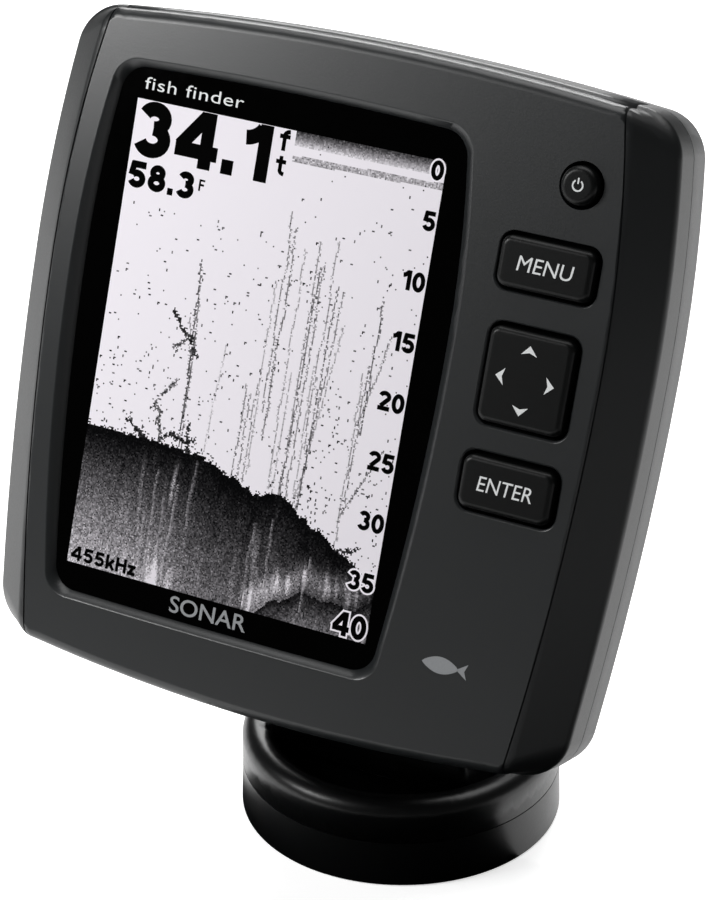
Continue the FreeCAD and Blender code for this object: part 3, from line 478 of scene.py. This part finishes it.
def sonarPicture():
    dice = random.Random(screen["seed"])
    cell = screen["cell"]
    columns = round(screen["wide"] / cell)
    rows = round(screen["tall"] / cell)
    level = [[1.0] * columns for _ in range(rows)]

    def dab(u, v, shade, strength=1.0):
        i = int(u / cell)
        j = int(v / cell)
        if 0 <= i < columns and 0 <= j < rows:
            level[j][i] = level[j][i] * (1 - strength) + shade * strength

    # surface clutter along the top
    for j in range(rows):
        v = j * cell
        for i in range(columns):
            u = i * cell
            if u < 39:
                continue
            if v < 3.0:
                level[j][i] = min(1.0, 0.25 + 0.22 * v + dice.gauss(0, 0.07))
            elif 5.0 < v + 0.02 * (u - 39) < 6.4:
                level[j][i] = min(1.0, 0.72 + dice.gauss(0, 0.13))

    # suspended specks, denser with depth
    for _ in range(2600):
        u = dice.uniform(0, screen["wide"])
        v = screen["tall"] * math.sqrt(dice.random()) if dice.random() < 0.85 else dice.uniform(2, 100)
        cluster = noise.noise(Vector((u / 9, v / 9, 3.0)))
        if dice.random() > 0.35 + 0.9 * cluster or (u < 38 and v < 22):
            continue
        shade = dice.uniform(0.0, 0.45)
        dab(u, v, shade)
        if dice.random() < 0.3:
            dab(u + cell, v, shade)
        if dice.random() < 0.3:
            dab(u, v + cell, shade)

    # standing timber
    # u at the top, v at the top, v at the foot, lean, weight
    stems = [
        (21.5, 31, 72, 1.6, 0.95), (22.6, 40, 73, 1.1, 0.7), (20.8, 44, 58, 2.4, 0.5),
        (30.5, 48, 72, -1.5, 0.25), (41.2, 17, 60, 0.4, 0.6), (42.8, 20, 66, -0.4, 0.7),
        (40.0, 32, 74, 0.2, 0.35), (36.8, 55, 76, -0.2, 0.6), (38.2, 57, 77, 0.1, 0.6),
        (39.4, 54, 76, 0.2, 0.5), (45.5, 24, 76, 0.4, 0.4), (48.8, 22, 78, -0.2, 0.55),
        (49.8, 27, 79, -0.9, 0.75), (50.6, 26, 79, -0.4, 0.6), (53.0, 21, 66, -0.2, 0.5),
        (54.8, 30, 80, -1.6, 0.75), (56.0, 31, 79, -3.0, 0.6), (57.4, 38, 78, -5.2, 0.4),
        (52.0, 48, 80, 0.2, 0.35), (47.0, 50, 79, 0.1, 0.35), (65.5, 31, 60, -0.3, 0.8),
        (64.6, 45, 75, -0.4, 0.6), (68.6, 38, 58, -4.2, 0.55), (63.4, 47, 84, 0.4, 0.45),
        (71.0, 62, 78, -7.5, 0.75),
    ]
    for top, start, foot, lean, weight in stems:
        v = start
        drift = 0.0
        while v < min(foot, follow(floorLine, top)):
            share = (v - start) / (foot - start)
            drift = drift * 0.96 + dice.gauss(0, 0.05)
            u = top + lean * share + drift
            if dice.random() < 0.86:
                dab(u, v, dice.uniform(0.0, 0.4), weight * dice.uniform(0.6, 1.0))
            if dice.random() < 0.45 * weight:
                beside = u + dice.choice((-cell, cell))
                dab(beside, v, dice.uniform(0.1, 0.6), weight * dice.uniform(0.4, 0.9))
            v += cell * 0.8

    # brush and roots by the tall tree
    # u and v of one end, u and v of the other, weight
    twigs = [
        (16.5, 43.5, 21.5, 48.5, 0.9), (21.5, 48, 24, 52, 0.8), (18, 51, 23, 47, 0.5),
        (16, 63, 18.5, 72, 0.5), (9.5, 68.5, 14.5, 71.5, 0.9), (18.5, 70.5, 26.5, 69.5, 0.9),
        (24.5, 66.5, 25.5, 73, 0.95), (26, 73.5, 30, 74.5, 0.9), (20, 58, 17, 62, 0.45),
        (63, 86, 69.5, 83.5, 0.85), (12, 70, 16, 73, 0.8),
    ]
    for u0, v0, u1, v1, weight in twigs:
        steps = int(math.hypot(u1 - u0, v1 - v0) / (cell * 0.5))
        for k in range(steps):
            share = k / steps
            u = u0 + (u1 - u0) * share + 0.7 * noise.noise(Vector((u0, share * 5, 0)))
            v = v0 + (v1 - v0) * share + 1.3 * noise.noise(Vector((v0, share * 5, 4)))
            for _ in range(3):
                dab(u + dice.gauss(0, 0.22), v + dice.gauss(0, 0.22), dice.uniform(0.0, 0.3), weight)
            if dice.random() < 0.25:
                dab(u + dice.gauss(0, 1.0), v + dice.gauss(0, 1.0), dice.uniform(0.1, 0.4), 0.9)

    # lake bed: black at its top, then a grainy fade
    for i in range(columns):
        u = (i + 0.5) * cell
        edge = follow(floorLine, u) + 0.9 * noise.noise(Vector((u / 1.3, 0.5, 8.0))) * min(1.0, u / 30)
        second = follow(secondLine, u) + 0.5 * noise.noise(Vector((u / 0.9, 2.5, 1.0)))
        fade = follow(fadeDepth, u)
        for j in range(rows):
            v = (j + 0.5) * cell
            deep = v - edge
            if deep < -0.9:
                continue
            if deep < 0:
                if dice.random() < 0.4 + 0.5 * deep:
                    level[j][i] = dice.uniform(0.0, 0.3)
                continue
            mean = 0.03 + 0.68 * max(0.0, (deep - 1.2) / fade) ** 0.85
            if u > 34:
                mean += 0.06 * noise.noise(Vector((u / 2.2, v / 5, 5.0)))
            veil = max(0.0, noise.noise(Vector((u / 1.6, v / 16, 9.0))) - 0.12)
            near = math.exp(-((u - 21) / 6.0) ** 2) + 0.5 * math.exp(-((u - 46) / 5.0) ** 2)
            mean += 1.3 * veil * near * min(1.0, deep / 8)
            glint = max(0.0, noise.noise(Vector((u / 1.1, v / 7, 2.0))))
            lift = math.exp(-((second - 3.5 - v) / 2.8) ** 2) if u > 44 else 0.0
            mean += lift * (0.25 + 0.9 * glint)
            if v > second and u > 44.5:
                under = v - second
                mean = 0.06 + 0.5 * min(1.0, under / 9) ** 0.8
            level[j][i] = min(0.95, max(0.0, dice.gauss(mean, 0.035 + 0.16 * min(mean, 0.6))))

    # bright strands in the bed: u at the top, v at the top, v at the foot, lean, weight
    strands = [
        (19.0, 78, 102, 0.2, 0.35), (24.2, 80, 102, -0.6, 0.45), (21.4, 84, 96, 0.4, 0.3),
        (17.2, 88, 102, 0.2, 0.3), (44.0, 84, 101, -0.5, 0.35), (48.2, 82, 99, 0.4, 0.35),
        (58.5, 88, 100, -0.8, 0.4), (62.5, 90, 96, 0.3, 0.3), (28.0, 74, 90, -0.8, 0.3),
        (33.0, 93, 102, 0.0, 0.25), (46.2, 93, 101, 0.0, 0.3),
    ]
    for top, start, foot, lean, weight in strands:
        v = start
        drift = 0.0
        while v < foot:
            drift = drift * 0.97 + dice.gauss(0, 0.05)
            u = top + lean * (v - start) / (foot - start) + drift
            dab(u, v, dice.uniform(0.6, 0.95), weight)
            dab(u + cell, v, dice.uniform(0.5, 0.8), weight * 0.6)
            v += cell * 0.7

    shape = bmesh.new()
    bmesh.ops.create_grid(shape, x_segments=columns, y_segments=rows, size=0.5)
    mesh = bpy.data.meshes.new("sonarPicture")
    shape.to_mesh(mesh)
    shape.free()
    mesh.transform(Matrix.Diagonal((screen["wide"], screen["tall"], 1, 1)))
    tint = mesh.color_attributes.new("greyLevel", "FLOAT_COLOR", "CORNER")
    for face in mesh.polygons:
        i = min(columns - 1, max(0, int((face.center.x / screen["wide"] + 0.5) * columns)))
        j = min(rows - 1, max(0, int((0.5 - face.center.y / screen["tall"]) * rows)))
        shade = level[j][i] ** 2.2
        for corner in face.loop_indices:
            tint.data[corner].color = (shade, shade, shade, 1.0)
    mesh.transform(onScreen(screen["wide"] / 2, screen["tall"] / 2))
    piece = bpy.data.objects.new("sonarPicture", mesh)
    bpy.context.collection.objects.link(piece)
    mesh.materials.append(lcdPaper())
    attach(piece, "head")
    return piece


def lcdPaper():
    material, tree, shader, place = newMaterial("lcdCellsPaintedGlow")
    grey = addNode(tree, "ShaderNodeAttribute", attribute_name="greyLevel")
    ink = addNode(tree, "ShaderNodeMix", [(grey.outputs["Fac"], 0)], data_type="RGBA",
                  in_6=linear("#060607"), in_7=linear("#DAD6DC"))
    tree.links.new(ink.outputs[2], shader.inputs["Base Color"])
    # the cells' own colour is also sent to emission: a painted glow that brightens the unlit display, which
    # is not a lamp
    tree.links.new(ink.outputs[2], shader.inputs["Emission Color"])
    shader.inputs["Emission Strength"].default_value = 0.24
    shader.inputs["Specular IOR Level"].default_value = 0.1
    shader.inputs["Roughness"].default_value = 0.08
    return material


sonarPicture()
print("sonar picture made")

figures("depthReading", "34.1", onScreen(0.3, 12.2, 0.02), lcdBlack, 12.1, 0.26, wide=1.13, gap=0.08)
figures("depthUnitTop", "f", onScreen(35.4, 4.7, 0.02), lcdBlack, 4.6, 0.2, wide=1.3)
figures("depthUnitLow", "t", onScreen(35.4, 10.0, 0.02), lcdBlack, 4.4, 0.2, wide=1.3)
figures("waterTemperature", "58.3", onScreen(0.4, 19.1, 0.02), lcdBlack, 5.8, 0.26, wide=1.13)
figures("temperatureUnit", "F", onScreen(18.0, 16.8, 0.02), lcdBlack, 2.5, 0.18)
figures("soundFrequency", "455kHz", onScreen(0.8, 102.2, 0.03), lcdBlack, 3.2, 0.23, wide=1.14, gap=0.1)
depthScale = {"first": 1.8, "step": 12.9, "highest": 4.1, "lowest": 102.4, "right": 74.2}
for k, mark in enumerate(range(0, 45, 5)):
    evenly = depthScale["first"] + depthScale["step"] * k
    foot = min(max(evenly, depthScale["highest"]), depthScale["lowest"])
    cap = 5.2 if mark == 40 else 4.2
    if mark in (0, 35, 40):
        figures(f"depthHalo{mark}", str(mark), onScreen(depthScale["right"], foot, 0.025), lcdWhite,
                cap, 0.23, align="right", grow=0.4)
    figures(f"depthMark{mark}", str(mark), onScreen(depthScale["right"], foot, 0.04), lcdBlack, cap, 0.23,
            align="right")
lettering("modelLegend", "fish finder", onScreen(1.2, -2.2), legendInk, 2.6, wide=1.5, spacing=1.06)
lettering("makerLegend", "SONAR", onScreen(36.5, 107.6), greyInk, 3.6, wide=1.12, bold=0.01, align="centre")
print("lettering on the lens made")


def onKey(node, x=0.0, z=0.0, turn=0.0, proud=0.01):
    place = onHead(middle(node, across), middle(node, up), span(node, back)[0] - proud * mm, turn)
    return place @ Matrix.Translation((x, z, 0))


def inkPiece(name, shape, place, ink, body):
    mesh = bpy.data.meshes.new(name)
    bmesh.ops.recalc_face_normals(shape, faces=shape.faces)
    shape.to_mesh(mesh)
    shape.free()
    mesh.transform(place)
    mesh.materials.append(ink)
    piece = bpy.data.objects.new(name, mesh)
    bpy.context.collection.objects.link(piece)
    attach(piece, body)
    return piece


# words on the two wide keys, leaning a little
keyWords = {"cap": 3.1, "drop": -1.5, "slant": 0.12, "wide": {"menu": 1.02, "enter": 0.94}}
for word, wide in keyWords["wide"].items():
    lettering(word + "Legend", word.upper(), onKey(word + "_key", 0, keyWords["drop"]), legendInk,
              keyWords["cap"], wide=wide, align="centre", body=word + "_key", slant=keyWords["slant"])

arrows = {"reach": 6.3, "reachSide": 5.6, "half": 1.8, "tall": 2.0, "notch": 0.55}
for k, reach in enumerate((arrows["reach"], arrows["reachSide"], arrows["reach"], arrows["reachSide"])):
    shape = bmesh.new()
    corners = [(-arrows["half"], 0), (0, arrows["notch"]), (arrows["half"], 0), (0, arrows["tall"])]
    shape.faces.new([shape.verts.new((x, z + reach - arrows["tall"] / 2, 0)) for x, z in corners])
    inkPiece(f"rockerArrow{k}", shape, onKey("rocker_key", turn=k * math.pi / 2), legendInk, "rocker")

powerMark = {"ring": 1.1, "line": 0.34, "gap": 64, "bar": 1.25, "dip": 0.15}
shape = bmesh.new()
inner = shape.verts.new((0, powerMark["ring"] - powerMark["line"] / 2, 0))
outer = shape.verts.new((0, powerMark["ring"] + powerMark["line"] / 2, 0))
edge = shape.edges.new((inner, outer))
half = math.radians(powerMark["gap"] / 2)
bmesh.ops.rotate(shape, verts=[inner, outer], cent=(0, 0, 0), matrix=Matrix.Rotation(half, 3, "Z"))
bmesh.ops.spin(shape, geom=[edge, inner, outer], cent=(0, 0, 0), axis=(0, 0, 1),
               angle=2 * math.pi - 2 * half, steps=40, use_merge=False)
inkPiece("powerRing", shape, onKey("power_key"), legendInk, "power_key")
shape = bmesh.new()
bmesh.ops.create_grid(shape, x_segments=1, y_segments=1, size=0.5)
barSize = Matrix.Diagonal((powerMark["line"], powerMark["bar"], 1, 1))
barPlace = Matrix.Translation((0, powerMark["ring"] - powerMark["dip"], 0))
bmesh.ops.transform(shape, verts=shape.verts, matrix=barPlace @ barSize)
inkPiece("powerBar", shape, onKey("power_key"), legendInk, "power_key")
print("key legends made")

# a small fish, printed below the keys on the bowed face
badge = {"x": 42.5, "z": -51.0, "long": 8.6, "tall": 3.6, "tail": 2.6, "fork": 1.7, "notch": 0.7,
         "root": 1.6, "shift": -1.0, "steps": 16, "fullness": 0.8, "proud": 0.01}
badgeDepth = span("front_panel", back)[0] + (badge["z"] ** 2 / 2 / crown["radius"] - badge["proud"]) * mm
badgePlace = onHead(badge["x"] * mm, middle("display_glass", up) + badge["z"] * mm, badgeDepth)
badgePlace = badgePlace @ Matrix.Rotation(-badge["z"] / crown["radius"], 4, "X")
shape = bmesh.new()
shares = [k / badge["steps"] for k in range(badge["steps"] + 1)]
swell = [math.sin(math.pi * share) ** badge["fullness"] * badge["tall"] / 2 for share in shares]
spine = [badge["long"] * (share - 0.5) for share in shares]
rim = list(zip(spine, swell)) + [(x, -y) for x, y in zip(spine, swell)][-2:0:-1]
shape.faces.new([shape.verts.new((x + badge["shift"], y, 0)) for x, y in rim])
tailRoot = badge["long"] / 2 - badge["root"]
tailEnd = tailRoot + badge["tail"]
fin = [(tailRoot, 0), (tailEnd, badge["fork"]), (tailEnd - badge["notch"], 0), (tailEnd, -badge["fork"])]
shape.faces.new([shape.verts.new((x, y, 0)) for x, y in fin])
inkPiece("fishBadge", shape, badgePlace, greyInk, "head")


# a black card on the floor, out of the camera's sight, keeps the floor's light off the front of the stand
flag = {"x": 0.26, "y": -0.21, "z": 0.0004, "wide": 0.6, "deep": 0.4}


def stageFloor():
    shape = bmesh.new()
    bmesh.ops.create_grid(shape, x_segments=8, y_segments=8, size=3.0)
    mesh = bpy.data.meshes.new("studioFloor")
    shape.to_mesh(mesh)
    shape.free()
    floor = bpy.data.objects.new("studioFloor", mesh)
    bpy.context.collection.objects.link(floor)
    material, tree, shader, place = newMaterial("studioPaper")
    shader.inputs["Base Color"].default_value = linear("#FFFFFF")
    shader.inputs["Roughness"].default_value = 0.9
    shader.inputs["Specular IOR Level"].default_value = 0.0
    shader.inputs["Emission Color"].default_value = linear("#FFFFFF")
    shader.inputs["Emission Strength"].default_value = 0.66
    mesh.materials.append(material)
    shape = bmesh.new()
    bmesh.ops.create_grid(shape, x_segments=1, y_segments=1, size=0.5)
    flagMesh = bpy.data.meshes.new("blackFlag")
    shape.to_mesh(flagMesh)
    shape.free()
    cardPlace = Matrix.Translation((flag["x"], flag["y"], flag["z"]))
    flagMesh.transform(cardPlace @ Matrix.Diagonal((flag["wide"], flag["deep"], 1, 1)))
    card = bpy.data.objects.new("blackFlag", flagMesh)
    bpy.context.collection.objects.link(card)
    material, tree, shader, place = newMaterial("blackVelvetCard")
    shader.inputs["Base Color"].default_value = linear("#020202")
    shader.inputs["Roughness"].default_value = 1.0
    shader.inputs["Specular IOR Level"].default_value = 0.0
    flagMesh.materials.append(material)
    card.visible_camera = False
    card.visible_shadow = False


def softbox(name, place, target, size, power, colour="#FFFFFF"):
    lamp = bpy.data.lights.new(name, "AREA")
    lamp.shape = "RECTANGLE"
    lamp.size, lamp.size_y = size
    lamp.energy = power
    lamp.color = linear(colour)[:3]
    holder = bpy.data.objects.new(name, lamp)
    holder.location = place
    holder.rotation_euler = (Vector(target) - Vector(place)).to_track_quat("-Z", "Y").to_euler()
    bpy.context.collection.objects.link(holder)


stageFloor()
world = bpy.data.worlds.new("studio")
world.use_nodes = True
world.node_tree.nodes["Background"].inputs[0].default_value = linear("#FFFFFF")
world.node_tree.nodes["Background"].inputs[1].default_value = 0.05
bpy.context.scene.world = world
# place, what it points at, width and height in metres, watts
lamps = {
    # close by, so the upper left of the face is bright and the light fades across it
    "nearLeft": ((-0.276, -0.278, 0.337), (-0.066, -0.04, 0.19), (0.12, 0.12), 0.8),
    # the general light from the left
    "keyLeft": ((-0.75, -0.75, 0.85), (0, 0, 0.1), (0.5, 0.5), 3.5),
    # large and high, for the top edges and the floor
    "overhead": ((-0.1, 0.35, 1.4), (0, 0.1, 0), (1.4, 1.0), 14),
    # behind, for the bright rim along the top
    "rimBehind": ((-0.4, 0.9, 0.6), (0, 0, 0.15), (0.7, 0.4), 6),
}
for name, setting in lamps.items():
    softbox(name, *setting)
bpy.context.scene.view_settings.view_transform = "Standard"

view = {
    "place": (0.3147, -0.5979, 0.4508),
    "forward": (-0.4235, 0.7756, -0.4681),
    "up": (-0.2229, 0.4116, 0.8837),
    "lens": 135.7,
}
camera = bpy.data.cameras.new("studioCamera")
camera.lens = view["lens"]
camera.sensor_width = 36
holder = bpy.data.objects.new("studioCamera", camera)
lookBack = -Vector(view["forward"]).normalized()
side = Vector(view["up"]).cross(lookBack).normalized()
holder.matrix_world = Matrix((side, lookBack.cross(side), lookBack)).transposed().to_4x4()
holder.location = view["place"]
bpy.context.collection.objects.link(holder)
bpy.context.scene.camera = holder
print("stage made")
